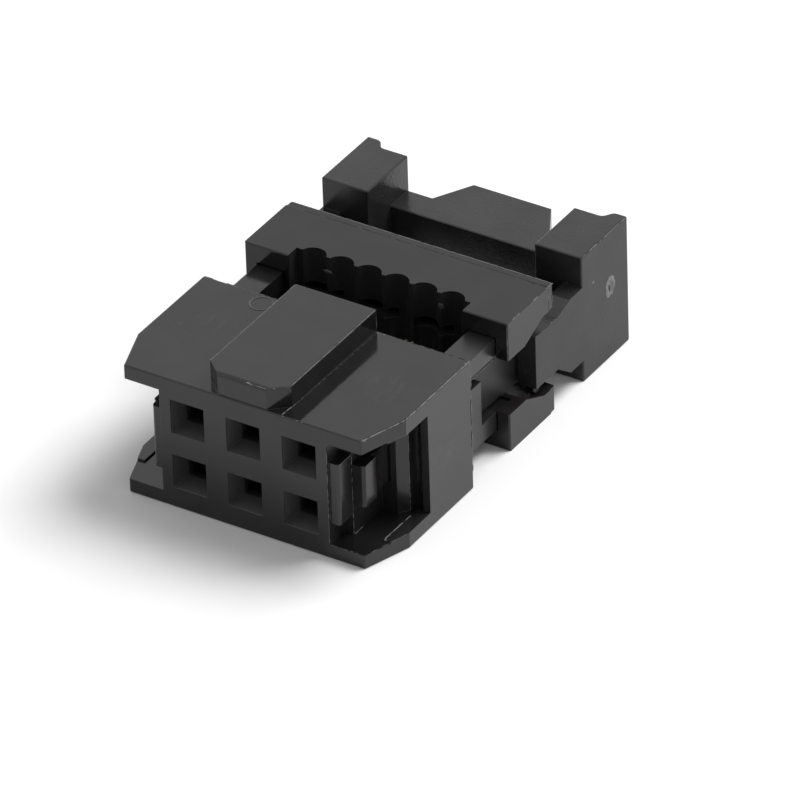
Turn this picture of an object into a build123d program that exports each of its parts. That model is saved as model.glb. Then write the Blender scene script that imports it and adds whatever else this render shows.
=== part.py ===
from build123d import *
import os

# Ribbon-cable socket, six ways in two rows, seen uncrimped: the housing with its contacts,
# the crimp cover standing off in its open position and the strain relief slipped in behind it.
# Millimetres. The origin is the middle of the mating face. +X runs along the row, +Y from the
# mating face to the cable end, and +Z to the side with the polarising key.

# Contact grid
pitch = 2.54
columns = 3
row_spacing = 2.54
wire_pitch = 1.27

# Housing: flange round the mating block
body_height = 5.92
flange_length = 6.82
end_bay = 2.30
nose_chamfer_x = 0.72
nose_chamfer_y = 2.11
plate_thickness = 0.63
block_side_wall = 0.49
block_shoulder = 0.45
block_nose_length = 1.05
pillar_face = 3.50
pillar_bevel = 0.36
end_wall = 0.67
end_wall_face = 3.65
end_wall_bevel = 0.34
pillar_groove_depth = 0.55
pillar_groove_width = 0.14
guide_pad_front = 0.12
guide_pad_height = 2.80
guide_pad_soft = 0.15
lip_inset = 0.62
lip_height = 0.08
lip_start = 1.25

# Housing: pin holes and contact cavities
pin_hole = 1.54
pin_throat = 0.90
cavity = 1.30
lead_in_depth = 0.65
throat_end = 0.90
cavity_spare = 0.25

# Housing: polarising key
key_width = 3.70
key_height = 0.97
key_setback = 0.08
key_nose_x = 0.75
key_nose_y = 0.65
key_front_soft = 0.18

# Housing: neck, arms and straps behind the flange
neck_inset = 0.84
neck_core_height = 2.80
neck_end = 8.58
arm_length = 1.97
arm_height = 0.82
arm_width = 1.18
strap_thickness = 0.35
strap_top = 0.75

# Crimp cover
cable_gap = 1.07
cover_length = 3.42
cover_height = 5.92
cover_side_inset = 0.07
cable_recess_width = 8.00
cable_recess_depth = 0.64
groove_radius = 0.58
groove_depth = 0.39
window_width = 1.64
window_shift = 0.38
window_height = 0.43
window_depth = 1.30
rim_width = 0.36
rim_step = 0.03

# Cover legs with their catches
leg_height = 2.40
leg_outer = 0.77
shank_height = 1.86
shank_thickness = 0.31
shoulder_place = 7.05
catch_rise = 0.22
catch_length = 0.87
catch_lead = 0.11
leg_tip = 1.05

# Channel in each end of the cover for the strain relief
channel_height = 2.50
channel_mouth_height = 3.68
channel_straight = 1.25
channel_slope = 1.35

# Strain relief
relief_tip_overlap = 1.34
relief_leg_height = 2.40
relief_root_height = 3.40
relief_root_drop = 0.20
relief_leg_straight = 1.62
relief_leg_slope = 0.95
relief_leg_length = 3.52
relief_leg_thickness = 0.86
relief_side_inset = 0.10
ear_width = 2.15
ear_length = 3.05
ear_height = 5.80
ear_hook = 0.45
ear_hook_start = 1.10
ear_hook_full = 1.72
bar_thickness = 1.35
bar_height = 2.62
tab_length = 1.65
tab_base = 5.45
tab_tip = 3.60

# Contacts, stamped from one sheet
sheet = 0.22
contact_width = 1.04
beam_height = 0.98
beam_start = 4.20
beam_tip = 1.55
beam_throat_place = 2.35
beam_throat = 0.54
beam_mouth = 0.78
base_front = 3.60
base_back = 6.35
fork_step = 0.35
fork_width = 0.78
fork_slot = 0.22
fork_slot_length = 0.90
fork_reach = 9.10
fork_point = 0.25

# Clearances and edge softening
slide = 0.03
leg_gap = 0.06
pocket_gap = 0.05
seam = 0.08
soft = 0.07
rear_soft = 0.09

# How far cuts run past a surface, and how far joined shapes run into each other
past = 1.0
bite = 0.3

# Places that follow from the sizes above
half = body_height / 2
column_x = [pitch * (i - (columns - 1) / 2) for i in range(columns)]
wire_count = 2 * columns
block_half = (columns - 1) / 2 * pitch + pin_hole / 2 + block_side_wall
flange_half = block_half + end_bay
neck_half = block_half + block_shoulder
neck_top = half - neck_inset
arm_outer = neck_half + arm_width
arm_reach = neck_end + arm_length
arm_low = neck_top - arm_height
core_half = neck_core_height / 2
cavity_end = base_back + cavity_spare
recess_top = half - plate_thickness
leg_inside = neck_half + slide
leg_outside = leg_inside + leg_outer - slide
shank_outside = leg_inside + shank_thickness
cover_front = neck_end + cable_gap
cover_back = cover_front + cover_length
cover_half = flange_half - cover_side_inset
groove_floor = cover_front + cable_recess_depth
relief_front = cover_back - relief_tip_overlap
ear_front = relief_front + relief_leg_length
ear_back = ear_front + ear_length
relief_half = flange_half - relief_side_inset
row_z = row_spacing / 2
contact_half = contact_width / 2
base_z = row_z - cavity / 2 + slide
fork_z = base_z + fork_step


def block(x0, x1, y0, y1, z0, z1):
    """Rectangular block given by its limits."""
    place = Pos((x0 + x1) / 2, (y0 + y1) / 2, (z0 + z1) / 2)
    return place * Box(abs(x1 - x0), abs(y1 - y0), abs(z1 - z0))


def plan_prism(points, z0, z1):
    """Outline drawn in plan (x, y) and raised from z0 to z1."""
    face = make_face(Polyline([(x, y, z0) for x, y in points], close=True))
    return extrude(face, amount=z1 - z0, dir=(0, 0, 1))


def side_prism(points, x0, x1):
    """Outline drawn from the side (y, z) and carried from x0 to x1."""
    face = make_face(Polyline([(x0, y, z) for y, z in points], close=True))
    return extrude(face, amount=x1 - x0, dir=(1, 0, 0))


def both_ends(shape):
    """The shape and its mirror image at the other end of the row."""
    return [shape, mirror(shape, Plane.YZ)]


def mirrored_outline(points):
    """Half outline in (y, z), closed by its mirror image below the middle plane."""
    return points + [(y, -z) for y, z in reversed(points)]


def flange():
    """Flange with its two front corners cut back."""
    nose_half = flange_half - nose_chamfer_x
    outline = [
        (-flange_half, nose_chamfer_y), (-nose_half, 0), (nose_half, 0), (flange_half, nose_chamfer_y),
        (flange_half, flange_length), (-flange_half, flange_length),
    ]
    solid = plan_prism(outline, -half, half)
    return fillet(solid.edges(), soft)


def key():
    """Polarising key on the top face, its front corners cut back."""
    hk = key_width / 2
    outline = [
        (-hk, key_setback + key_nose_y), (-hk + key_nose_x, key_setback),
        (hk - key_nose_x, key_setback), (hk, key_setback + key_nose_y),
        (hk, flange_length), (-hk, flange_length),
    ]
    solid = plan_prism(outline, half - bite, half + key_height)
    front = solid.edges().group_by(Axis.Z)[-1].sort_by(Axis.Y)[:1]
    solid = fillet(front, key_front_soft)
    sides = solid.edges().group_by(Axis.Z)[-1].filter_by(Axis.Y)
    return fillet(sides, soft)


def end_recess():
    """Space in the +X end of the flange, open to the front and to the side."""
    wall_inside = flange_half - end_wall
    pillar_edge = wall_inside - pillar_groove_width
    beyond = flange_half + past
    groove_back = pillar_face + pillar_groove_depth
    outline = [
        (block_half, -past), (beyond, -past), (beyond, end_wall_face),
        (wall_inside + end_wall_bevel, end_wall_face), (wall_inside, end_wall_face + end_wall_bevel),
        (wall_inside, groove_back), (pillar_edge, groove_back), (pillar_edge, pillar_face),
        (pillar_edge - pillar_bevel, pillar_face - pillar_bevel), (neck_half, pillar_face - pillar_bevel),
        (neck_half, block_nose_length), (block_half, block_nose_length),
    ]
    space = plan_prism(outline, -recess_top, recess_top)
    lips = [
        block(flange_half - lip_inset, beyond, lip_start, end_wall_face,
              side * (recess_top - lip_height), side * (recess_top + past))
        for side in (1, -1)
    ]
    return space - lips


def guide_pad():
    """Raised pad on the side of the block, in front of the cover's leg, with a rounded front edge."""
    solid = block(block_half - bite, neck_half, guide_pad_front, block_nose_length + bite,
                  -guide_pad_height / 2, guide_pad_height / 2)
    front_edge = solid.edges().filter_by(Axis.Z).sort_by(lambda edge: edge.center().X - edge.center().Y)[-1:]
    return fillet(front_edge, guide_pad_soft)


def leg_passage():
    """Way for the cover's leg through the +X end of the flange."""
    narrow = shank_height / 2 + leg_gap
    wide = leg_height / 2 + leg_gap
    shoulder_stop = shoulder_place - cable_gap - seam
    front = block(neck_half, shank_outside + leg_gap, pillar_face - past, shoulder_stop, -narrow, narrow)
    back = block(neck_half, leg_outside + leg_gap, shoulder_stop, flange_length + past, -wide, wide)
    return front + back


def contact_cavity(x, side):
    """Pin hole, cavity and fork slot of one contact. side is +1 for the upper row."""
    zc = side * row_z
    mouth = Plane(origin=(x, 0, zc), x_dir=(1, 0, 0), z_dir=(0, 1, 0))
    funnel = loft([mouth * Rectangle(pin_hole, pin_hole),
                   mouth.offset(lead_in_depth) * Rectangle(pin_throat, pin_throat)])
    throat = block(x - pin_throat / 2, x + pin_throat / 2, lead_in_depth, throat_end,
                   zc - pin_throat / 2, zc + pin_throat / 2)
    room = block(x - cavity / 2, x + cavity / 2, throat_end, cavity_end, zc - cavity / 2, zc + cavity / 2)
    fork_x = x - side * wire_pitch / 2
    fork_half = fork_width / 2 + slide
    slot = block(fork_x - fork_half, fork_x + fork_half, base_back - sheet - slide, neck_end + past,
                 side * (fork_z - slide), side * (fork_z + sheet + slide))
    return funnel + throat + room + slot


def housing():
    """Moulded housing in one piece."""
    body = flange() + key()
    body -= both_ends(end_recess())
    body += both_ends(guide_pad())
    neck = block(-neck_half, neck_half, flange_length - bite, neck_end, -core_half, core_half)
    body += fillet(neck.edges().group_by(Axis.Y)[-1], soft / 2)
    for side in (1, -1):
        arm = block(neck_half, arm_outer, flange_length - bite, arm_reach, side * arm_low, side * neck_top)
        body += both_ends(arm)
    strap = block(arm_outer - strap_thickness, arm_outer, flange_length - bite, neck_end,
                  -arm_low - bite, strap_top)
    body += both_ends(strap)
    body -= both_ends(leg_passage())
    cavities = [contact_cavity(x, side) for x in column_x for side in (1, -1)]
    return body - cavities


def cover_body():
    """Block of the cover with its cable recess, rim and pockets."""
    hz = cover_height / 2
    solid = block(-cover_half, cover_half, cover_front, cover_back - rim_width, -hz, hz)
    solid = fillet(solid.edges().group_by(Axis.Y)[0], soft)
    rim_x, rim_z = cover_half - rim_step, hz - rim_step
    rim = block(-rim_x, rim_x, cover_back - 2 * rim_width, cover_back, -rim_z, rim_z)
    solid += fillet(rim.edges().group_by(Axis.Y)[-1], rear_soft)
    beyond = hz + past
    recess_half = cable_recess_width / 2
    recess = block(-recess_half, recess_half, cover_front - past, groove_floor, -beyond, beyond)
    groove_y = groove_floor + groove_depth - groove_radius
    grooves = [
        Pos(wire_pitch * (i - (wire_count - 1) / 2), groove_y, 0) * Cylinder(groove_radius, 2 * beyond)
        for i in range(wire_count)
    ]
    windows = [fork_window(x, side) for x in column_x for side in (1, -1)]
    return solid - recess - grooves - windows


def fork_window(x, side):
    """Opening in the recess floor that takes the points of one fork."""
    xc = x - side * window_shift
    low = fork_z - pocket_gap
    return block(xc - window_width / 2, xc + window_width / 2,
                 cover_front - past, groove_floor + window_depth,
                 side * low, side * (low + window_height))


def relief_channel():
    """Channel in the +X end of the cover, wider towards the back."""
    start = cover_front + channel_straight
    outline = [
        (cover_front - past, channel_height / 2), (start, channel_height / 2),
        (start + channel_slope, channel_mouth_height / 2), (cover_back + past, channel_mouth_height / 2),
    ]
    return side_prism(mirrored_outline(outline), leg_outside, cover_half + past)


def arm_pockets():
    """Pockets in the +X end of the cover's front face for the two arms."""
    return [
        block(neck_half - pocket_gap, arm_outer + pocket_gap, cover_front - past, arm_reach + 2 * pocket_gap,
              side * (arm_low - seam), side * (neck_top + pocket_gap))
        for side in (1, -1)
    ]


def cover_leg():
    """Leg at the +X end: a stiff root, a thin shank and a catch at the tip."""
    root = block(leg_inside, leg_outside, shoulder_place, arm_reach, -leg_height / 2, leg_height / 2)
    catch_top = shank_outside + catch_rise
    outline = [
        (leg_inside, leg_tip), (catch_top - catch_lead, leg_tip), (catch_top, leg_tip + catch_lead),
        (catch_top, leg_tip + catch_length), (shank_outside, leg_tip + catch_length),
        (shank_outside, shoulder_place + bite), (leg_inside, shoulder_place + bite),
    ]
    shank = plan_prism(outline, -shank_height / 2, shank_height / 2)
    return root + shank


def cover():
    """Crimp cover in one piece with its two legs."""
    solid = cover_body()
    solid -= both_ends(relief_channel())
    solid -= [pocket for shape in arm_pockets() for pocket in both_ends(shape)]
    return solid + both_ends(cover_leg())


def relief_end():
    """Ear and leg at the +X end of the strain relief. The leg's root sits lower than its tip."""
    leg_inner = relief_half - relief_leg_thickness
    ear_inner = relief_half - ear_width
    straight = relief_front + relief_leg_straight
    root = straight + relief_leg_slope
    tip_z = relief_leg_height / 2
    root_low, root_high = (side * relief_root_height / 2 - relief_root_drop for side in (-1, 1))
    outline = [
        (relief_front, tip_z), (straight, tip_z), (root, root_high), (ear_front + past, root_high),
        (ear_front + past, root_low), (root, root_low), (straight, -tip_z), (relief_front, -tip_z),
    ]
    leg = side_prism(outline, leg_inner, relief_half)
    hook_start, hook_full = ear_inner + ear_hook_start, ear_inner + ear_hook_full
    hook_back = ear_back + ear_hook
    rear_curve = Spline([(hook_start, ear_back), (hook_full, hook_back)], tangents=[(1, 0), (1, 0)])
    sides = Polyline([
        (hook_full, hook_back), (relief_half, hook_back), (relief_half, ear_front),
        (ear_inner, ear_front), (ear_inner, ear_back), (hook_start, ear_back),
    ])
    ear = Pos(0, 0, -ear_height / 2) * extrude(make_face(rear_curve + sides), amount=ear_height)
    ear = fillet(ear.edges().filter_by(Axis.Z), soft)
    ear = fillet(ear.edges().group_by(Axis.Z)[0] + ear.edges().group_by(Axis.Z)[-1], soft)
    return ear + leg


def relief_bar():
    """Cross bar between the ears with the tapered tab behind it."""
    ear_inner = relief_half - ear_width
    bar_back = ear_back - soft
    outline = [
        (-ear_inner - bite, bar_back - bar_thickness), (ear_inner + bite, bar_back - bar_thickness),
        (ear_inner + bite, bar_back), (tab_base / 2, bar_back), (tab_tip / 2, bar_back + tab_length),
        (-tab_tip / 2, bar_back + tab_length), (-tab_base / 2, bar_back), (-ear_inner - bite, bar_back),
    ]
    solid = plan_prism(outline, -bar_height / 2, bar_height / 2)
    return fillet(solid.edges().filter_by(Plane.XY), soft)


def strain_relief():
    """Strain relief clip in one piece. It lies on the same plane as the housing."""
    return Pos(0, 0, -(body_height - ear_height) / 2) * (relief_bar() + both_ends(relief_end()))


def contact(x, side):
    """One contact: two springs folded up from a base strip that ends in a cable fork."""
    left, right = x - contact_half, x + contact_half
    base = block(left, right, base_front, base_back, base_z, base_z + sheet)
    riser = block(left, right, base_back - sheet, base_back, base_z, fork_z + sheet)
    fork_x = x - side * wire_pitch / 2
    fork_left, fork_right = fork_x - side * fork_width / 2, fork_x + side * fork_width / 2
    tip = fork_reach - fork_point
    fork_outline = [
        (fork_left, base_back - sheet), (fork_left, tip), (fork_x - side * fork_slot / 2, fork_reach),
        (fork_x - side * fork_slot / 2, fork_reach - fork_slot_length),
        (fork_x + side * fork_slot / 2, fork_reach - fork_slot_length),
        (fork_x + side * fork_slot / 2, fork_reach), (fork_right, tip), (fork_right, base_back - sheet),
    ]
    solid = base + riser + plan_prism(fork_outline, fork_z, fork_z + sheet)
    for hand in (1, -1):
        wall = block(x + hand * contact_half, x + hand * (contact_half - sheet),
                     beam_start, base_back, base_z, base_z + beam_height)
        spring_outline = [
            (x + hand * contact_half, beam_start),
            (x + hand * (beam_throat / 2 + sheet), beam_throat_place),
            (x + hand * (beam_mouth / 2 + sheet / 2), beam_tip),
            (x + hand * (beam_mouth / 2 - sheet / 2), beam_tip),
            (x + hand * beam_throat / 2, beam_throat_place),
            (x + hand * (contact_half - sheet), beam_start),
        ]
        solid += wall + plan_prism(spring_outline, base_z + sheet, base_z + beam_height)
    return solid if side > 0 else mirror(solid, Plane.XY)


def save(name, shape):
    """Write one piece to its own file."""
    shape.label = name
    export_step(shape, f"parts/{name}.step")


os.makedirs("parts", exist_ok=True)
save("housing", housing())
save("cover", cover())
save("strain_relief", strain_relief())
for i, x in enumerate(column_x, start=1):
    for row, side in (("upper", 1), ("lower", -1)):
        save(f"contact_{row}_{i}", contact(x, side))
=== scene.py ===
from math import cos, pi, radians, sin

import bpy
import numpy as np
from bpy.props import FloatProperty, FloatVectorProperty, IntProperty, PointerProperty
from mathutils import Matrix, Vector


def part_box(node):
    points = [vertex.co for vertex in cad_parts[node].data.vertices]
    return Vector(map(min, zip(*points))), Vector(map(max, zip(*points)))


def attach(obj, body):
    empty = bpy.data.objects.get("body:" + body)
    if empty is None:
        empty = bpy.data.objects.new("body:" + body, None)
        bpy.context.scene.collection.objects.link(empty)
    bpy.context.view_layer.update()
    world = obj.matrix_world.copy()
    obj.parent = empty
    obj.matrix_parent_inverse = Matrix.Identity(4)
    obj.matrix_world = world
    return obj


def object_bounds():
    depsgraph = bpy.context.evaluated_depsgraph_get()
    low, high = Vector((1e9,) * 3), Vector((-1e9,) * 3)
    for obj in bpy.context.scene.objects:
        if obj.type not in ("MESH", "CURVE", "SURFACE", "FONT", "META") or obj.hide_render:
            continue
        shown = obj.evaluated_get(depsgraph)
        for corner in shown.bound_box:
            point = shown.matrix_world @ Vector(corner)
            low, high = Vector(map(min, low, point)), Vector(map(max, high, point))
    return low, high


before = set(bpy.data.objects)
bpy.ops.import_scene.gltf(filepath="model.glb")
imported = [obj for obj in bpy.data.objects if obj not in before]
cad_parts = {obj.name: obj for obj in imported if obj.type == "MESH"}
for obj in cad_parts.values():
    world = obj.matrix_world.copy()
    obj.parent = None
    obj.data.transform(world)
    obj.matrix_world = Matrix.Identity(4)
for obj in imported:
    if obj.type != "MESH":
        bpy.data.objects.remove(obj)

bl_info = {
    "name": "Ribbon Cable Socket Finish",
    "version": (1, 0, 0),
    "blender": (4, 5, 0),
    "location": "3D View > Sidebar > Socket",
    "description": "Moulded plastic, plated contacts, tooling marks and a small studio for a cable socket",
    "category": "Object",
}

# The frame's own box, kept before anything is added to it
CAD_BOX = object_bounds()
MM = 0.001
BODY = "root"
CONTACTS = sorted(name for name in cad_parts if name.startswith("contact_"))


def box_mm(node):
    """Lowest and highest corner of a node, in millimetres."""
    return [[value / MM for value in corner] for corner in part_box(node)]


# Places that the marks are set by, in millimetres. The node boxes give the outer ones.
HOUSING_LOW, HOUSING_HIGH = box_mm("housing")
COVER_LOW, COVER_HIGH = box_mm("cover")
RELIEF_LOW, RELIEF_HIGH = box_mm("strain_relief")
# Housing: the flange's outer side, top and rear
SIDE = HOUSING_HIGH[0]
TOP = -HOUSING_LOW[2]
FLANGE_BACK = 6.82
# Housing: the key's top, side and front corner
KEY_TOP = HOUSING_HIGH[2]
KEY_SIDE = 1.85
KEY_CORNER = 0.73
# Housing: sides of the block and its shoulder, the shoulder's front, and the two ends of the cut corner
BLOCK_SIDE = 3.80
SHOULDER = 4.25
SHOULDER_FRONT = 1.05
NOSE_X, NOSE_Y = 5.38, 2.11
# Housing: floor of the end recess, the lip on it, the pillar's corner and the arm's outer side
FLOOR = -2.33
LIP = -2.25
PILLAR_X, PILLAR_Y = 5.29, 3.50
ARM_SIDE = 5.43
# Cover: its front, the parting line at its rim, the lands between the grooves and the leg's outer side
COVER_FRONT = 9.65
COVER_SEAM = COVER_HIGH[1] - 0.36
LAND = 10.29
LEG_SIDE = 5.02
# Middle of the ejector pin's ring on the flange, and of the gate scar on the strain relief's side
RING_X, RING_Y = -3.05, 6.22
GATE_Y, GATE_Z = 17.34, 0.32
# How far inside an edge its burr runs
ROUND = 0.02


class PlasticSettings(bpy.types.PropertyGroup):
    """Look of the black moulded plastic."""

    colour: FloatVectorProperty(
        name="Colour", description="Colour of the clean plastic",
        subtype="COLOR", size=3, min=0, max=1, default=(0.0112, 0.0110, 0.0118))
    # Also the colour of the painted highlight lines and spots on the housing
    wear_and_highlight_colour: FloatVectorProperty(
        name="Worn colour", description="Colour of burrs, chips and stressed plastic",
        subtype="COLOR", size=3, min=0, max=1, default=(0.15, 0.15, 0.148))
    roughness: FloatProperty(
        name="Roughness", description="Roughness of the moulded face", min=0, max=1, default=0.12)
    gloss: FloatProperty(
        name="Gloss", description="Strength of the mirror image in the plastic", min=0, max=1, default=0.45)
    # Paler colour of the duller faces: painted fill light for the holes, the recesses, the gap and the
    # grooves
    painted_fill_colour: FloatVectorProperty(
        name="Dull colour", description="Colour of the duller faces, such as those inside the holes",
        subtype="COLOR", size=3, min=0, max=1, default=(0.024, 0.024, 0.024))
    edge_radius: FloatProperty(
        name="Edge radius", description="Radius at which sharp edges are shaded round",
        unit="LENGTH", precision=6, default=0.03 * MM)


class ContactSettings(bpy.types.PropertyGroup):
    """Look of the plated contacts."""

    colour: FloatVectorProperty(
        name="Colour", description="Colour of the plating",
        subtype="COLOR", size=3, min=0, max=1, default=(0.50, 0.44, 0.30))
    roughness: FloatProperty(
        name="Roughness", description="Roughness of the plating", min=0, max=1, default=0.32)


class MarkSettings(bpy.types.PropertyGroup):
    """Burrs, chips and tooling marks."""

    seed: IntProperty(name="Seed", description="Start of the random breaks in the burrs", default=7)
    size: FloatProperty(
        name="Size", description="Factor on every burr's thickness", min=0.1, max=3, default=1.0)
    ring_radius: FloatProperty(
        name="Ring radius", description="Radius of the ejector pin's ring", unit="LENGTH", precision=5,
        default=0.46 * MM)
    gate_width: FloatProperty(
        name="Gate width", description="Gate scar, along the socket", unit="LENGTH", precision=5,
        default=0.72 * MM)
    gate_height: FloatProperty(
        name="Gate height", description="Gate scar, up and down", unit="LENGTH", precision=5,
        default=1.08 * MM)


class StudioSettings(bpy.types.PropertyGroup):
    """Camera, light and floor."""

    azimuth: FloatProperty(
        name="Azimuth", description="Camera's turn to the right of the mating face",
        subtype="ANGLE", default=radians(32.93))
    elevation: FloatProperty(
        name="Elevation", description="Camera's height above the horizon",
        subtype="ANGLE", default=radians(33.73))
    roll: FloatProperty(
        name="Roll", description="Camera's turn about its own line of sight",
        subtype="ANGLE", default=radians(-1.91))
    distance: FloatProperty(
        name="Distance", description="From the camera to the point it looks at",
        unit="LENGTH", default=0.40735)
    target: FloatVectorProperty(
        name="Target", description="Point the camera looks at",
        subtype="TRANSLATION", size=3, precision=5, default=(1.540 * MM, 8.793 * MM, -1.515 * MM))
    lens: FloatProperty(
        name="Lens", description="Focal length on a 36 mm wide sensor, in millimetres", default=469.9)
    floor_size: FloatProperty(
        name="Floor size", description="Side of the floor", unit="LENGTH", default=0.6)
    sky: FloatProperty(
        name="Sky", description="Strength of the light from all round", min=0, default=0.45)
    lamp_power: FloatProperty(
        name="Lamp power", description="Power of the softbox behind the socket", unit="POWER", min=0,
        default=1.25)


def principled(name, roughness):
    """New material with one Principled BSDF, and that shader."""
    material = bpy.data.materials.new(name)
    material.use_nodes = True
    shader = material.node_tree.nodes["Principled BSDF"]
    shader.inputs["Roughness"].default_value = roughness
    return material, material.node_tree, shader


def new_group(name, inputs, outputs):
    """Empty shader node group with the given sockets, and its two end nodes."""
    group = bpy.data.node_groups.new(name, "ShaderNodeTree")
    for label, kind, value in inputs:
        socket = group.interface.new_socket(label, in_out="INPUT", socket_type=kind)
        socket.default_value = value
    for label, kind in outputs:
        group.interface.new_socket(label, in_out="OUTPUT", socket_type=kind)
    return group, group.nodes.new("NodeGroupInput"), group.nodes.new("NodeGroupOutput")


def feed(tree, value, socket):
    """Give a socket a number, or link another socket to it."""
    if isinstance(value, (int, float)):
        socket.default_value = value
    else:
        tree.links.new(value, socket)


def maths(tree, operation, first, second):
    """Math node whose inputs are sockets or numbers. Gives its output."""
    node = tree.nodes.new("ShaderNodeMath")
    node.operation = operation
    feed(tree, first, node.inputs[0])
    feed(tree, second, node.inputs[1])
    return node.outputs["Value"]


def vectors(tree, operation, first, second=None):
    """Vector Math node on one or two sockets. Gives its vector."""
    node = tree.nodes.new("ShaderNodeVectorMath")
    node.operation = operation
    tree.links.new(first, node.inputs[0])
    if second:
        tree.links.new(second, node.inputs[1])
    return node.outputs["Vector"]


def band(tree, value, low, high):
    """Smooth step of a value: 0 at low, 1 at high."""
    node = tree.nodes.new("ShaderNodeMapRange")
    node.interpolation_type = "SMOOTHSTEP"
    tree.links.new(value, node.inputs["Value"])
    for label, number in (("From Min", low), ("From Max", high), ("To Min", 0.0), ("To Max", 1.0)):
        node.inputs[label].default_value = number
    return node.outputs["Result"]


def place_in_mm(tree):
    """Object coordinates in millimetres."""
    place = tree.nodes.new("ShaderNodeTexCoord")
    to_mm = tree.nodes.new("ShaderNodeMapping")
    to_mm.inputs["Scale"].default_value = (1 / MM, 1 / MM, 1 / MM)
    tree.links.new(place.outputs["Object"], to_mm.inputs["Vector"])
    return to_mm.outputs["Vector"]


def noise(tree, vector, scale, detail):
    """Noise texture on a vector. Gives its value, about 0 to 1."""
    node = tree.nodes.new("ShaderNodeTexNoise")
    node.inputs["Detail"].default_value = detail
    tree.links.new(vector, node.inputs["Vector"])
    feed(tree, scale, node.inputs["Scale"])
    return node.outputs["Fac"]


def grain_group():
    """Fine unevenness of a moulded face, wide clouds and scattered specks, each about 0 to 1."""
    group, start, end = new_group(
        "moulded_grain",
        [("Grain per mm", "NodeSocketFloat", 14.0), ("Specks per mm", "NodeSocketFloat", 2.5)],
        [("Height", "NodeSocketFloat"), ("Cloud", "NodeSocketFloat"), ("Specks", "NodeSocketFloat")])
    place = place_in_mm(group)
    cells = group.nodes.new("ShaderNodeTexVoronoi")
    group.links.new(place, cells.inputs["Vector"])
    group.links.new(start.outputs["Specks per mm"], cells.inputs["Scale"])
    group.links.new(noise(group, place, start.outputs["Grain per mm"], 4.0), end.inputs["Height"])
    group.links.new(noise(group, place, 0.55, 4.0), end.inputs["Cloud"])
    group.links.new(band(group, cells.outputs["Distance"], 0.10, 0.05), end.inputs["Specks"])
    return group


def scuff_group():
    """Short streaks inside a ball. Mask = step of stretched noise times step of 1 - distance / reach."""
    group, start, end = new_group(
        "scuffs", [("Centre mm", "NodeSocketVector", (0, 0, 0)), ("Reach mm", "NodeSocketFloat", 1.0)],
        [("Mask", "NodeSocketFloat")])
    place = place_in_mm(group)
    gap = group.nodes.new("ShaderNodeVectorMath")
    gap.operation = "DISTANCE"
    group.links.new(place, gap.inputs[0])
    group.links.new(start.outputs["Centre mm"], gap.inputs[1])
    share = maths(group, "DIVIDE", gap.outputs["Value"], start.outputs["Reach mm"])
    near = maths(group, "SUBTRACT", 1.0, share)
    stretch = group.nodes.new("ShaderNodeMapping")
    stretch.inputs["Rotation"].default_value = (radians(35), radians(20), radians(30))
    stretch.inputs["Scale"].default_value = (3.0, 0.9, 5.0)
    group.links.new(place, stretch.inputs["Vector"])
    streaks = band(group, noise(group, stretch.outputs["Vector"], 1.6, 3.0), 0.52, 0.66)
    group.links.new(maths(group, "MULTIPLY", streaks, band(group, near, 0.0, 0.6)), end.inputs["Mask"])
    return group


def box_group():
    """Mask of a box, 1 where the largest part of |place - centre| - half is below 0.

    Nick shade = mask times a step of fine noise; it paints broken dark shade along an edge.
    """
    group, start, end = new_group(
        "inside_box",
        [("Centre mm", "NodeSocketVector", (0, 0, 0)), ("Half mm", "NodeSocketVector", (1, 1, 1))],
        [("Mask", "NodeSocketFloat"), ("Nick shade", "NodeSocketFloat")])
    place = place_in_mm(group)
    apart = vectors(group, "ABSOLUTE", vectors(group, "SUBTRACT", place, start.outputs["Centre mm"]))
    parts = group.nodes.new("ShaderNodeSeparateXYZ")
    group.links.new(vectors(group, "SUBTRACT", apart, start.outputs["Half mm"]), parts.inputs[0])
    most = maths(group, "MAXIMUM", parts.outputs["X"], parts.outputs["Y"])
    mask = maths(group, "LESS_THAN", maths(group, "MAXIMUM", most, parts.outputs["Z"]), 0.0)
    group.links.new(mask, end.inputs["Mask"])
    broken = band(group, noise(group, place, 3.4, 4.0), 0.44, 0.52)
    group.links.new(maths(group, "MULTIPLY", mask, broken), end.inputs["Nick shade"])
    return group


def use_group(tree, group, **values):
    """Group node in a material, with its own input values."""
    node = tree.nodes.new("ShaderNodeGroup")
    node.node_tree = group
    for label, value in values.items():
        node.inputs[label.replace("_", " ")].default_value = value
    return node


def mixed_colour(tree, factor, low, high):
    """Colour that goes from low to high with the factor."""
    node = tree.nodes.new("ShaderNodeMix")
    node.data_type = "RGBA"
    tree.links.new(factor, node.inputs[0])
    for socket, value in ((node.inputs[6], low), (node.inputs[7], high)):
        if hasattr(value, "links"):
            tree.links.new(value, socket)
        else:
            socket.default_value = (*value, 1.0)
    return node.outputs[2]


def rounded_normal(tree, radius, grain, depth):
    """Normal with sharp edges shaded round and a fine grain on top."""
    bevel = tree.nodes.new("ShaderNodeBevel")
    bevel.samples = 6
    bevel.inputs["Radius"].default_value = radius
    bump = tree.nodes.new("ShaderNodeBump")
    bump.inputs["Strength"].default_value = 0.6
    bump.inputs["Distance"].default_value = depth
    tree.links.new(grain, bump.inputs["Height"])
    tree.links.new(bevel.outputs["Normal"], bump.inputs["Normal"])
    return bump.outputs["Normal"]


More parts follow.
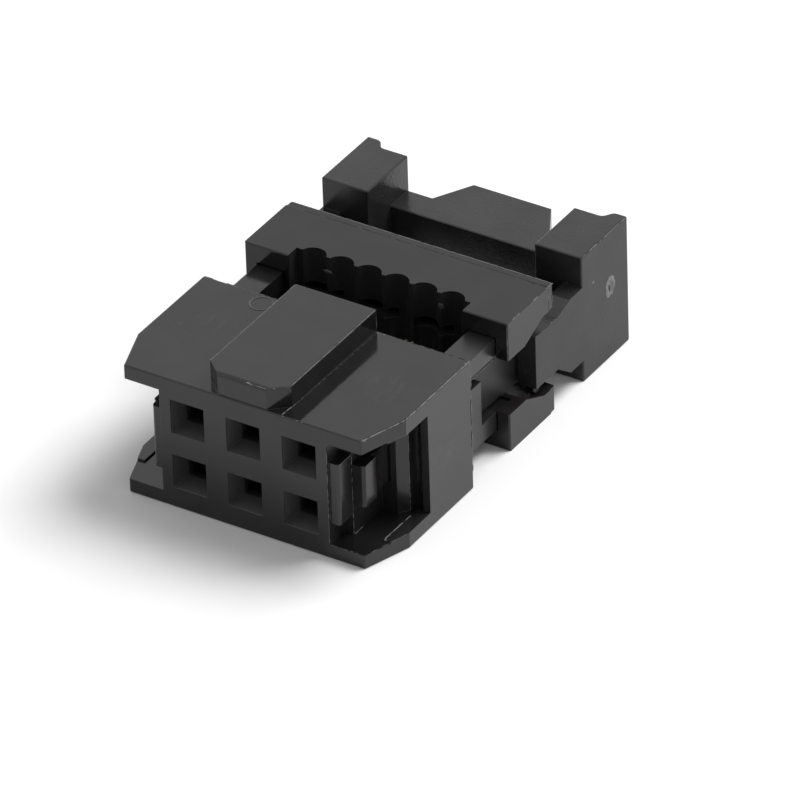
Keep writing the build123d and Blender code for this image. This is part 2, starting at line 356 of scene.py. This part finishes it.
def moulded_plastic(name, settings, grain_depth, grain_per_mm, speck_strength,
                    lift=(0, 0, 0), blur=0.0, shine=1.0, scuffs=(), dull=(), nick_shade_boxes=()):
    """Black moulded plastic: clouds, grain, pale specks and scuffs at (centre, reach, strength).

    The faces in the dull boxes (centre, half, strength) are rougher, and paler with painted fill light. The
    nick shade boxes paint broken dark shade along edges.
    """
    groups = shared_groups()
    material, tree, shader = principled(name, settings.roughness)
    grain = use_group(tree, groups["moulded_grain"], Grain_per_mm=grain_per_mm)
    base = [c + more for c, more in zip(settings.colour, lift)]
    cloud = band(tree, grain.outputs["Cloud"], 0.3, 0.7)
    colour = mixed_colour(tree, cloud, [c * 0.85 for c in base], [c * 1.25 for c in base])
    pale = maths(tree, "MULTIPLY", grain.outputs["Specks"], speck_strength)
    for centre, reach, strength in scuffs:
        patch = use_group(tree, groups["scuffs"], Centre_mm=centre, Reach_mm=reach)
        pale = maths(tree, "MAXIMUM", pale, maths(tree, "MULTIPLY", patch.outputs["Mask"], strength))
    colour = mixed_colour(tree, pale, colour, settings.wear_and_highlight_colour)
    rough = maths(tree, "ADD", settings.roughness + blur - 0.03, maths(tree, "MULTIPLY", cloud, 0.06))
    rough = maths(tree, "ADD", rough, maths(tree, "MULTIPLY", pale, 0.25))
    # In the dull boxes the faces turn rougher and paler; the paler colour is painted fill light that lifts
    # the shade in the holes, recesses, gap and grooves
    for centre, half, strength in dull:
        box = use_group(tree, groups["inside_box"], Centre_mm=centre, Half_mm=half)
        inside = maths(tree, "MULTIPLY", box.outputs["Mask"], strength)
        colour = mixed_colour(tree, inside, colour, settings.painted_fill_colour)
        rough = maths(tree, "ADD", rough, maths(tree, "MULTIPLY", inside, 0.35))
    # Painted shade: near-black broken spots along the flange's rear edges
    for centre, half in nick_shade_boxes:
        nick_shade = use_group(tree, groups["inside_box"], Centre_mm=centre, Half_mm=half).outputs["Nick shade"]
        colour = mixed_colour(tree, nick_shade, colour, (0.002, 0.002, 0.002))
        rough = maths(tree, "ADD", rough, maths(tree, "MULTIPLY", nick_shade, 0.8))
    tree.links.new(colour, shader.inputs["Base Color"])
    tree.links.new(rough, shader.inputs["Roughness"])
    shader.inputs["Specular IOR Level"].default_value = settings.gloss * shine
    normal = rounded_normal(tree, settings.edge_radius, grain.outputs["Height"], grain_depth)
    tree.links.new(normal, shader.inputs["Normal"])
    return material


def plated_metal(name, settings):
    """Thin gold-coloured plating over a stamped strip."""
    material, tree, shader = principled(name, settings.roughness)
    grain = use_group(tree, shared_groups()["moulded_grain"], Grain_per_mm=9.0)
    dull = [c * 0.72 for c in settings.colour]
    colour = mixed_colour(tree, band(tree, grain.outputs["Cloud"], 0.35, 0.65), dull, settings.colour)
    tree.links.new(colour, shader.inputs["Base Color"])
    shader.inputs["Metallic"].default_value = 1.0
    normal = rounded_normal(tree, 0.02 * MM, grain.outputs["Height"], 0.001 * MM)
    tree.links.new(normal, shader.inputs["Normal"])
    return material


def plain_plastic(name, colour, roughness):
    """Evenly coloured plastic for burrs and marks. Made once."""
    if name in bpy.data.materials:
        return bpy.data.materials[name]
    material, _, shader = principled(name, roughness)
    shader.inputs["Base Color"].default_value = (*colour, 1.0)
    return material


def dress(node, material):
    """Put one material in every slot of a frame piece."""
    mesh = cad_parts[node].data
    mesh.materials.clear()
    mesh.materials.append(material)


def shared_groups():
    """The node groups that the materials share, made at the first call."""
    for name, make in (("moulded_grain", grain_group), ("scuffs", scuff_group), ("inside_box", box_group)):
        if name not in bpy.data.node_groups:
            make()
    return bpy.data.node_groups


class SOCKET_OT_plastic(bpy.types.Operator):
    """Give the housing, the cover and the strain relief their moulded plastic"""

    bl_idname = "socket.plastic"
    bl_label = "Moulded plastic"

    def execute(self, context):
        settings = context.scene.socket_plastic
        side_scuffs = [
            ((SIDE, 4.8, 0.2), 1.3, 0.10), ((4.2, 3.6, TOP), 1.6, 0.05), ((-4.6, 4.2, TOP), 1.8, 0.06)]
        # Boxes round the duller faces, whose paler colour is painted fill light in the holes, recesses, gap
        # and grooves: middle, half size, strength
        holes = ((0, 3.53, 0), (BLOCK_SIDE - 0.02, 3.5, 2.4), 0.9)
        ends = [((side * 4.92, 2.2, 0), (1.13, 2.15, 2.32), 0.35) for side in (1, -1)]
        rear = ((0, 8.2, 0), (BLOCK_SIDE, 1.16, 2.8), 0.7)
        arm = ((4.85, 8.25, 0), (0.65, 1.42, 2.2), 0.5)
        grooves = ((0, 10.3, 0), (5.0, 0.58, COVER_HIGH[2] - 0.04), 0.7)
        leg = ((LEG_SIDE, 9.6, 0), (0.06, 2.6, 1.3), 0.8)
        relief_side = ((RELIEF_HIGH[0], 15.8, 0), (0.03, 4.1, 3.0), 0.7)
        # Boxes round the flange's rear edges where broken dark shade is painted: middle, half size
        rim = ((4.2, FLANGE_BACK - 0.03, TOP), (1.85, 0.06, 0.08))
        corner = ((SIDE, FLANGE_BACK - 0.04, 0.15), (0.08, 0.06, 1.15))
        dress("housing", moulded_plastic(
            "housing_plastic", settings, 0.0010 * MM, 10.0, 0.04, shine=0.99, scuffs=side_scuffs,
            dull=(holes, *ends, rear, arm), nick_shade_boxes=(rim, corner)))
        dress("cover", moulded_plastic(
            "cover_plastic", settings, 0.0018 * MM, 9.0, 0.03, lift=(0.0015, 0, 0.0003), shine=0.77,
            dull=(grooves, leg)))
        dress("strain_relief", moulded_plastic(
            "relief_plastic", settings, 0.014 * MM, 8.0, 0.22, lift=(0.0092, 0.0082, 0.0082),
            blur=0.10, shine=0.82, dull=(relief_side,)))
        return {"FINISHED"}


class SOCKET_OT_contacts(bpy.types.Operator):
    """Give the contacts their plating"""

    bl_idname = "socket.contacts"
    bl_label = "Contact plating"

    def execute(self, context):
        metal = plated_metal("contact_plating", context.scene.socket_contacts)
        for name in CONTACTS:
            dress(name, metal)
        return {"FINISHED"}


def add_piece(name, points, material):
    """One object from lattices of points in mm, shaped (count, rows, columns, 3).

    The last column joins the first. The points are kept just inside the frame's own box.
    """
    low, high = (np.array(corner) / MM for corner in CAD_BOX)
    margin = 0.001
    inside = np.clip(points, low + margin, high - margin)
    index = np.arange(points[..., 0].size).reshape(points.shape[:-1])
    after = np.roll(index, -1, axis=-1)
    faces = np.stack([index[:, :-1], after[:, :-1], after[:, 1:], index[:, 1:]], axis=-1).reshape(-1, 4)
    mesh = bpy.data.meshes.new(name)
    mesh.from_pydata((inside.reshape(-1, 3) * MM).tolist(), [], faces.tolist())
    mesh.polygons.foreach_set("use_smooth", np.ones(len(faces), dtype=bool))
    mesh.materials.append(material)
    piece = bpy.data.objects.new(name, mesh)
    bpy.context.scene.collection.objects.link(piece)
    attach(piece, BODY)


def unit(vectors):
    """The vectors at length one."""
    return vectors / np.linalg.norm(vectors, axis=-1, keepdims=True)


def tubes(path, radius, up, sides=8):
    """Round strips along paths: P = path + radius (cos a u + sin a v), with u and v square to the path."""
    tangent = unit(np.gradient(path, axis=-2))
    u = unit(np.cross(up, tangent))
    v = np.cross(tangent, u)
    angle = np.arange(sides)[:, None] * 2 * pi / sides
    ring = np.cos(angle) * u[..., None, :] + np.sin(angle) * v[..., None, :]
    return path[..., None, :] + radius[..., None, None] * ring


def ripple(chance, count, along, waves=6, shortest=0.22, longest=1.8):
    """Uneven curves of -1 to 1: the mean of a few sines of random length and phase, times two."""
    length = shortest * (longest / shortest) ** chance.random((count, waves, 1))
    phase = 2 * pi * chance.random((count, waves, 1))
    return np.clip(2 * np.sin(2 * pi * along[:, None, :] / length + phase).mean(axis=1), -1, 1)


def burrs(marks, settings, steps=160):
    """Broken lines, each (start, end, thickness, cover), for flash, painted highlights and painted shade.
    Cover is the share that stands out.

    radius = thickness * taper * clip(0.6 ripple + 1.5 cover - 0.2, 0.03, 1), and the line wanders a little.
    """
    chance = np.random.default_rng(settings.seed)
    start, end = (np.array([mark[i] for mark in marks], dtype=float)[:, None, :] for i in (0, 1))
    thickness, cover = (np.array([mark[i] for mark in marks])[:, None] for i in (2, 3))
    share = np.linspace(0, 1, steps)
    length = np.linalg.norm(end - start, axis=-1)
    along = length * share
    taper = np.clip(np.minimum(along, length - along) / 0.06, 0.02, 1)
    size = np.clip(0.6 * ripple(chance, len(marks), along) + 1.5 * cover - 0.2, 0.03, 1)
    radius = settings.size * thickness * taper * size
    up = np.where(np.abs(unit(end - start)[..., 2:]) < 0.8, np.array([0.0, 0, 1]), np.array([1.0, 0, 0]))
    wander = 0.2 * thickness * ripple(chance, len(marks), along)
    path = start + (end - start) * share[:, None] + wander[..., None] * unit(np.cross(up, end - start))
    return tubes(path, radius, up)


def flakes(marks, settings, rings=7, around=28):
    """Low uneven domes, each (centre, facing, half width, half height, rise).

    The outline is r(a) = 1 + 0.3 sin(2a + p) sin(3a + q), the height rise * (0.85 - share^2).
    """
    chance = np.random.default_rng(settings.seed + 1)
    centre, facing = (np.array([mark[i] for mark in marks], dtype=float)[:, None, None, :] for i in (0, 1))
    wide, high, rise = (np.array([mark[i] for mark in marks])[:, None, None, None] for i in (2, 3, 4))
    up = np.where(np.abs(facing[..., 2:]) < 0.8, np.array([0.0, 0, 1]), np.array([0.0, 1, 0]))
    u = unit(np.cross(up, facing))
    v = np.cross(facing, u)
    angle = np.arange(around) * 2 * pi / around
    first, second = 6 * chance.random((2, len(marks), 1))
    edge = 1 + 0.3 * np.sin(2 * angle + first) * np.sin(3 * angle + second)
    share = np.linspace(1, 0.02, rings)[None, :, None]
    reach = (share * edge[:, None, :])[..., None]
    height = rise * (0.85 - share[..., None] ** 2)
    flat = wide * reach * np.cos(angle)[:, None] * u + high * reach * np.sin(angle)[:, None] * v
    return centre + flat + height * facing


def gate_scar(settings, rings=28, around=96):
    """Torn rim of a cut gate, facing +X: height = rim height * ridge(r) * lean(a) * (1 + tear) - sunk."""
    chance = np.random.default_rng(settings.seed + 2)
    angle = np.arange(around) * 2 * pi / around
    share = np.linspace(1, 0.01, rings)[:, None]
    lean = np.clip(0.55 + 0.5 * np.cos(angle - radians(20)) + 0.3 * np.cos(2 * angle - radians(40)), 0, 1)
    ragged = 1 + 0.06 * np.sin(3 * angle + 1) + 0.04 * np.sin(7 * angle + 2) + 0.02 * np.sin(13 * angle)
    tear = 0.5 * np.sin(7 * angle + 9 * share) * np.sin(13 * share + 3 * angle)
    tear = tear + 0.2 * chance.random((rings, around))
    ridge = np.exp(-((share - 0.56) / 0.30) ** 2)
    rim_height, sunk = 0.07, 0.007
    height = rim_height * ridge * lean * (1 + tear) - sunk
    points = np.empty((1, rings, around, 3))
    points[0, ..., 0] = RELIEF_HIGH[0] + height
    points[0, ..., 1] = GATE_Y + settings.gate_width / MM / 2 * share * ragged * np.cos(angle)
    points[0, ..., 2] = GATE_Z + settings.gate_height / MM / 2 * share * ragged * np.sin(angle)
    return points


class SOCKET_OT_burrs(bpy.types.Operator):
    """Add the pale flash and worn lines along the edges, and painted highlight lines at the key's foot, the
    lip, the recess floor and the arm's lower edge
    """

    bl_idname = "socket.burrs"
    bl_label = "Burrs and flash"

    def execute(self, context):
        settings = context.scene.socket_marks
        pale = plain_plastic("worn_and_highlight_plastic", context.scene.socket_plastic.wear_and_highlight_colour, 0.5)
        key_edge, side_edge, top_edge = KEY_SIDE - ROUND, SIDE - ROUND, TOP - ROUND
        key_ridge = KEY_TOP - ROUND
        # The key, the flange's top, the end recess, the lower front edge, and the rear with the arm
        housing = [
            ((key_edge, KEY_CORNER, key_ridge), (key_edge, FLANGE_BACK, key_ridge), 0.016, 0.75),
            ((-key_edge, KEY_CORNER, key_ridge), (-key_edge, FLANGE_BACK, key_ridge), 0.012, 0.55),
            ((KEY_SIDE, FLANGE_BACK, KEY_TOP), (KEY_SIDE, FLANGE_BACK, TOP), 0.016, 0.45),
            ((0.25, 0.12, KEY_TOP - 0.05), (1.10, 0.12, KEY_TOP - 0.04), 0.014, 0.6),
            ((1.10, 0.12, KEY_TOP - 0.03), (KEY_SIDE, KEY_CORNER, key_ridge), 0.010, 0.5),
            # Painted highlight: the pale lines along the foot of the key's right chamfer and side wall
            ((1.79, 0.05, TOP), (KEY_SIDE, 1.05, TOP), 0.022, 0.8),
            ((KEY_SIDE + 0.02, 1.05, TOP), (KEY_SIDE + 0.10, FLANGE_BACK, TOP), 0.004, 0.45),
            ((-KEY_SIDE, FLANGE_BACK, top_edge), (-SIDE, FLANGE_BACK, top_edge), 0.014, 0.4),
            ((side_edge, NOSE_Y, top_edge), (side_edge, FLANGE_BACK, top_edge), 0.024, 0.7),
            ((NOSE_X, 0.03, top_edge), (side_edge, NOSE_Y, top_edge), 0.024, 0.65),
            ((BLOCK_SIDE, 0.01, 1.95), (BLOCK_SIDE, 0.01, FLOOR), 0.016, 0.45),
            ((SHOULDER, SHOULDER_FRONT, 1.30), (SHOULDER, SHOULDER_FRONT, FLOOR), 0.012, 0.55),
            ((SHOULDER, 0.25, 1.38), (SHOULDER, SHOULDER_FRONT, 1.38), 0.014, 0.7),
            ((PILLAR_X, PILLAR_Y, 1.6), (PILLAR_X, PILLAR_Y, FLOOR), 0.012, 0.55),
            # Painted highlight: the pale lines along the lip's edge and along the shoulder's foot on the
            # recess floor
            ((5.50, 1.25, LIP - 0.01), (5.53, 3.15, LIP - 0.01), 0.034, 0.75),
            ((SHOULDER + 0.02, 1.06, FLOOR + 0.01), (SHOULDER + 0.02, 1.70, FLOOR + 0.01), 0.022, 0.8),
            ((BLOCK_SIDE, 0.01, FLOOR), (NOSE_X, 0.03, FLOOR), 0.012, 0.35),
            ((NOSE_X, 0.03, FLOOR), (SIDE, NOSE_Y, LIP), 0.010, 0.35),
            ((side_edge, FLANGE_BACK, 2.9), (side_edge, FLANGE_BACK, -2.2), 0.024, 0.5),
            # Painted highlight along the arm's lower edge
            ((ARM_SIDE, 7.4, 1.20), (ARM_SIDE, 9.6, 1.20), 0.010, 0.6),
        ]
        cover_x, cover_z = COVER_HIGH[0] - ROUND, COVER_HIGH[2] - ROUND
        rear, rim_z = COVER_HIGH[1] - 0.03, cover_z - 0.02
        tip, shank_z = COVER_LOW[1] + 0.01, 0.93
        # The side's top edge, the rear rim, the side's two upright edges, and the catch at the leg's tip
        cover = [
            ((cover_x, COVER_FRONT, cover_z), (cover_x, COVER_HIGH[1], cover_z), 0.024, 0.6),
            ((-cover_x, rear, rim_z), (cover_x, rear, rim_z), 0.026, 0.85),
            ((cover_x, COVER_FRONT, 2.8), (cover_x, COVER_FRONT, 1.3), 0.012, 0.45),
            ((cover_x, rear, 2.8), (cover_x, rear, 1.9), 0.012, 0.5),
            ((4.68, tip, shank_z), (4.68, tip, -shank_z), 0.006, 0.6),
            ((4.60, tip, shank_z), (4.80, tip + 0.09, shank_z), 0.012, 0.7),
            ((4.80, tip + 0.09, shank_z), (4.80, tip + 0.84, shank_z), 0.012, 0.7),
        ]
        relief_x, relief_z = RELIEF_HIGH[0] - ROUND, RELIEF_HIGH[2] - ROUND
        # The top edges of the ear and of the leg
        relief = [
            ((relief_x, 15.4, relief_z), (relief_x, 18.7, relief_z), 0.020, 0.5),
            ((relief_x, RELIEF_LOW[1], 1.14), (relief_x, 13.3, 1.14), 0.010, 0.4),
        ]
        for node, marks in (("housing", housing), ("cover", cover), ("relief", relief)):
            add_piece("burrs_and_highlights_" + node, burrs(marks, settings), pale)
        return {"FINISHED"}


class SOCKET_OT_seams(bpy.types.Operator):
    """Add the dark parting lines, and painted shade under the upper arm, in the nick at the nose and in the
    pit of the gate scar
    """

    bl_idname = "socket.seams"
    bl_label = "Parting lines"

    def execute(self, context):
        settings = context.scene.socket_marks
        dark = plain_plastic("seam_shadow", (0.016, 0.016, 0.016), 0.7)
        # Painted shade under the upper arm on the housing, and the parting line round the rim of the cover
        housing = [((ARM_SIDE, 7.2, 1.26), (ARM_SIDE, 9.64, 1.26), 0.014, 0.9)]
        right, top = COVER_HIGH[0] - 0.004, COVER_HIGH[2] - 0.006
        cover = [
            ((-5.2, COVER_SEAM, top), (5.2, COVER_SEAM, top), 0.018, 0.75),
            ((5.1, COVER_SEAM - 0.02, top), (6.04, COVER_SEAM, top), 0.030, 0.9),
            ((right, COVER_SEAM, 2.9), (right, COVER_SEAM, 1.85), 0.014, 0.6),
        ]
        # The nick and the pit are dark rough domes: painted shade standing for the shade in these hollows
        nick_shade = [((5.24, 0.06, TOP - 0.012), (0, 0, 1), 0.07, 0.04, 0.02)]
        pit_shade = [((RELIEF_HIGH[0], GATE_Y - 0.07, GATE_Z - 0.06), (1, 0, 0), 0.07, 0.13, 0.03)]
        add_piece("shade_under_arm", burrs(housing, settings), dark)
        add_piece("nose_nick_shade", flakes(nick_shade, settings), dark)
        add_piece("seams_cover", burrs(cover, settings), dark)
        add_piece("gate_pit_shade", flakes(pit_shade, settings), dark)
        return {"FINISHED"}


class SOCKET_OT_chips(bpy.types.Operator):
    """Add the chips, the gate scar, the ejector pin's ring, the painted glints on the cover and the painted
    highlights on the housing
    """

    bl_idname = "socket.chips"
    bl_label = "Chips, gate and ring"

    def execute(self, context):
        settings = context.scene.socket_marks
        pale = plain_plastic("worn_and_highlight_plastic", context.scene.socket_plastic.wear_and_highlight_colour, 0.5)
        torn = plain_plastic("torn_plastic", (0.18, 0.175, 0.175), 0.7)
        witness_and_glint = plain_plastic("witness_and_glint_plastic", (0.065, 0.065, 0.065), 0.4)
        up, ahead, right = (0, 0, 1), (0, -1, 0), (1, 0, 0)
        # Chips on the key's front, the cut corner and the flange's edges; painted highlights at the key's
        # top-left corner and at the start of the lip
        housing = [
            ((0.27, 0.12, KEY_TOP - 0.03), up, 0.10, 0.05, 0.025),
            ((0.40, 0.10, KEY_TOP - 0.06), ahead, 0.05, 0.03, 0.02),
            ((1.34, 0.28, KEY_TOP - 0.02), up, 0.05, 0.03, 0.015),
            # Painted highlight at the key's top-left corner
            ((-KEY_SIDE + 0.03, KEY_CORNER + 0.04, KEY_TOP - 0.02), up, 0.03, 0.04, 0.018),
            ((NOSE_X + 0.04, 0.14, TOP - 0.02), up, 0.09, 0.06, 0.035),
            # Painted highlight where the lip's edge starts
            ((5.54, 1.26, LIP - 0.01), up, 0.06, 0.05, 0.03),
            ((5.94, 4.95, TOP - 0.01), up, 0.04, 0.04, 0.015),
            ((6.03, 6.55, TOP - 0.01), up, 0.05, 0.05, 0.02),
            ((1.86, 0.03, TOP - 0.01), up, 0.03, 0.02, 0.015),
            ((2.49, 0.03, TOP - 0.01), up, 0.05, 0.02, 0.015),
            ((1.96, 6.70, TOP), up, 0.04, 0.03, 0.012),
            ((2.25, 6.72, TOP), up, 0.04, 0.03, 0.012),
            ((2.72, 0.03, TOP - 0.01), up, 0.03, 0.02, 0.012),
        ]
        # Two painted glints on the lands between the grooves, and a chip at the rear corner
        cover = [
            ((-2.55, LAND - 0.004, 2.28), ahead, 0.22, 0.09, 0.03),
            ((2.60, LAND - 0.004, 2.34), ahead, 0.14, 0.14, 0.04),
            ((COVER_HIGH[0] - 0.05, COVER_HIGH[1] - 0.06, COVER_HIGH[2] - 0.03), up, 0.06, 0.05, 0.025),
        ]
        add_piece("chips_and_highlights_housing", flakes(housing, settings), pale)
        add_piece("glints_and_chip_cover", flakes(cover, settings), witness_and_glint)
        add_piece("gate_scar", gate_scar(settings), torn)
        dot = [((RELIEF_HIGH[0], 16.11, 1.24), right, 0.07, 0.06, 0.02)]
        add_piece("gate_dot", flakes(dot, settings), torn)
        turn = np.linspace(0, 2 * pi, 73)
        reach = settings.ring_radius / MM
        x, y = RING_X + reach * np.cos(turn), RING_Y + reach * np.sin(turn)
        ring = np.stack([x, y, np.full(turn.size, TOP)], axis=-1)
        wide = 0.028 * (1 + 0.35 * np.cos(turn - radians(200)))[None]
        add_piece("ejector_ring", tubes(ring[None], wide, np.array([0.0, 0, 1])), witness_and_glint)
        return {"FINISHED"}


def area_lamp(name, place, aim, size, power):
    """Square softbox that points at a place."""
    lamp = bpy.data.lights.new(name, "AREA")
    lamp.size = size
    lamp.energy = power
    holder = bpy.data.objects.new(name, lamp)
    holder.location = place
    holder.rotation_euler = (Vector(aim) - Vector(place)).to_track_quat("-Z", "Y").to_euler()
    bpy.context.scene.collection.objects.link(holder)
    return holder


def polar(azimuth, elevation, distance, centre):
    """Point seen from a centre at an azimuth and elevation. Azimuth 0 is in front, 90 to the right."""
    a, e = radians(azimuth), radians(elevation)
    step = Vector((sin(a) * cos(e), -cos(a) * cos(e), sin(e)))
    return Vector(centre) + distance * step


def white_world(strength):
    """Even light from all round, seen as pure white by the camera and in reflections."""
    world = bpy.data.worlds.new("studio_white")
    bpy.context.scene.world = world
    world.use_nodes = True
    tree = world.node_tree
    background = tree.nodes["Background"]
    background.inputs["Color"].default_value = (1, 1, 1, 1)
    paths = tree.nodes.new("ShaderNodeLightPath")
    seen = maths(tree, "MAXIMUM", paths.outputs["Is Camera Ray"], paths.outputs["Is Transmission Ray"])
    seen = maths(tree, "MAXIMUM", seen, paths.outputs["Is Glossy Ray"])
    strength_socket = maths(tree, "ADD", strength, maths(tree, "MULTIPLY", seen, 1.0 - strength))
    tree.links.new(strength_socket, background.inputs["Strength"])


class SOCKET_OT_stage(bpy.types.Operator):
    """Set up the floor, the light and the camera"""

    bl_idname = "socket.stage"
    bl_label = "Studio"

    def execute(self, context):
        settings = context.scene.socket_studio
        low, high = (Vector(corner) for corner in CAD_BOX)
        centre = (low + high) / 2
        half = settings.floor_size / 2
        mesh = bpy.data.meshes.new("studio_floor")
        corners = [(-half, -half), (half, -half), (half, half), (-half, half)]
        mesh.from_pydata([(x, y, low.z) for x, y in corners], [], [(0, 1, 2, 3)])
        floor = bpy.data.objects.new("studio_floor", mesh)
        context.scene.collection.objects.link(floor)
        material, _, shader = principled("studio_paper", 0.9)
        shader.inputs["Base Color"].default_value = (0.95, 0.95, 0.95, 1)
        mesh.materials.append(material)
        white_world(settings.sky)
        # One softbox behind the socket, 20 cm wide and 35 cm away, that isn't seen in reflections
        behind = polar(145, 55, 0.35, centre)
        lamp = area_lamp("lamp_back", behind, centre, 0.20, settings.lamp_power)
        lamp.visible_glossy = False
        camera = bpy.data.cameras.new("photo_camera")
        camera.lens = settings.lens
        holder = bpy.data.objects.new("photo_camera", camera)
        context.scene.collection.objects.link(holder)
        target = Vector(settings.target)
        place = polar(settings.azimuth * 180 / pi, settings.elevation * 180 / pi, settings.distance, target)
        turn = (target - place).to_track_quat("-Z", "Y").to_matrix().to_4x4()
        holder.matrix_world = Matrix.Translation(place) @ turn @ Matrix.Rotation(settings.roll, 4, "Z")
        context.scene.camera = holder
        context.scene.view_settings.view_transform = "Standard"
        return {"FINISHED"}


class SOCKET_PT_panel(bpy.types.Panel):
    """Sidebar panel with the steps in order"""

    bl_idname = "SOCKET_PT_panel"
    bl_label = "Ribbon cable socket"
    bl_space_type = "VIEW_3D"
    bl_region_type = "UI"
    bl_category = "Socket"

    def draw(self, context):
        for step in STEPS:
            self.layout.operator(step.bl_idname)


SETTINGS = {
    "socket_plastic": PlasticSettings, "socket_contacts": ContactSettings,
    "socket_marks": MarkSettings, "socket_studio": StudioSettings,
}
STEPS = (
    SOCKET_OT_plastic, SOCKET_OT_contacts, SOCKET_OT_burrs, SOCKET_OT_seams, SOCKET_OT_chips, SOCKET_OT_stage,
)


def register():
    for cls in (*SETTINGS.values(), *STEPS, SOCKET_PT_panel):
        bpy.utils.register_class(cls)
    for name, cls in SETTINGS.items():
        setattr(bpy.types.Scene, name, PointerProperty(type=cls))


def unregister():
    for name in SETTINGS:
        delattr(bpy.types.Scene, name)
    for cls in reversed((*SETTINGS.values(), *STEPS, SOCKET_PT_panel)):
        bpy.utils.unregister_class(cls)


def main():
    """Run every step in order."""
    register()
    bpy.ops.socket.plastic()
    bpy.ops.socket.contacts()
    bpy.ops.socket.burrs()
    bpy.ops.socket.seams()
    bpy.ops.socket.chips()
    bpy.ops.socket.stage()


if __name__ == "__main__":
    main()
